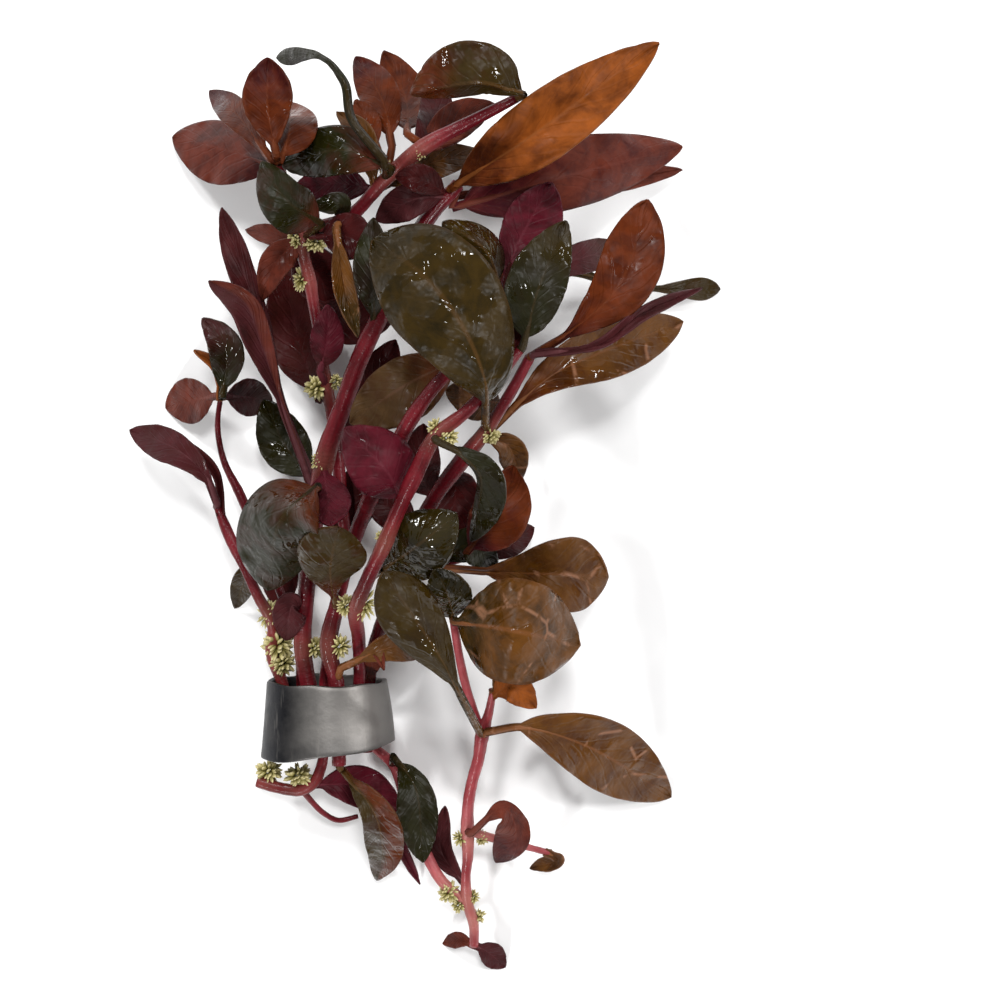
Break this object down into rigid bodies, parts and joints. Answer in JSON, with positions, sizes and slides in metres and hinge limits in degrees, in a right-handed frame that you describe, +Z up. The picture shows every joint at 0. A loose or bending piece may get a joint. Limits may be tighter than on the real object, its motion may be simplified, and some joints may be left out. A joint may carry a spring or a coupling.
{
  "type": "bunch of aquarium plant stems",
  "caption": "Cut bunch of Alternanthera reineckii, red stems with olive, orange and purple leaves and pale flower clusters, held by a wound strip of grey metal, lying down",
  "frame": {"origin": "centre of the bounding box on the surface that the bunch lies on", "axes": "+Y from the metal band towards the leaf tips, +X to the right as seen from above, +Z up from the surface"},
  "size_m": [0.1242, 0.195, 0.0595],
  "materials": {
    "grey_metal": "dull grey soft metal strip",
    "red_stem": "wet red stem with pale green flower clusters",
    "leaf": "wet glossy leaf in olive, orange, red and purple"
  },
  "bodies": {
    "root": {"band": "grey_metal", "leaf_back_dark": "leaf", "leaf_below_green": "leaf", "leaf_below_olive": "leaf", "leaf_big_glossy": "leaf", "leaf_bridge": "leaf", "leaf_centre_dark": "leaf", "leaf_centre_gold": "leaf", "leaf_centre_plum": "leaf", "leaf_centre_tan": "leaf", "leaf_crown_back": "leaf", "leaf_crown_left": "leaf", "leaf_crown_olive": "leaf", "leaf_crown_small": "leaf", "leaf_curl_over": "leaf", "leaf_front_arch": "leaf", "leaf_front_blunt": "leaf", "leaf_front_glossy": "leaf", "leaf_front_gold": "leaf", "leaf_front_long": "leaf", "leaf_left_far": "leaf", "leaf_left_inner": "leaf", "leaf_left_near": "leaf", "leaf_left_olive": "leaf", "leaf_left_out": "leaf", "leaf_loose_curl": "leaf", "leaf_loose_gold": "leaf", "leaf_low_green": "leaf", "leaf_low_yellow": "leaf", "leaf_magenta": "leaf", "leaf_mauve_big": "leaf", "leaf_orange_big": "leaf", "leaf_purple_fold": "leaf", "leaf_right_brown": "leaf", "leaf_right_gold": "leaf", "leaf_right_green": "leaf", "leaf_right_pink": "leaf", "leaf_right_shadow": "leaf", "leaf_right_spoon": "leaf", "leaf_right_stalked": "leaf", "leaf_side_inner": "leaf", "leaf_side_low": "leaf", "leaf_side_up": "leaf", "leaf_tip_front": "leaf", "leaf_tip_left": "leaf", "leaf_tip_low": "leaf", "leaf_tip_right": "leaf", "leaf_tip_up": "leaf", "leaf_top_fold": "leaf", "leaf_twisted": "leaf", "leaf_under_right": "leaf", "stem_back": "red_stem", "stem_front": "red_stem", "stem_left": "red_stem", "stem_left_shoot": "red_stem", "stem_loose": "red_stem", "stem_middle": "red_stem", "stem_right": "red_stem", "stem_stub": "red_stem", "stem_thick": "red_stem"}
  },
  "joints": []
}
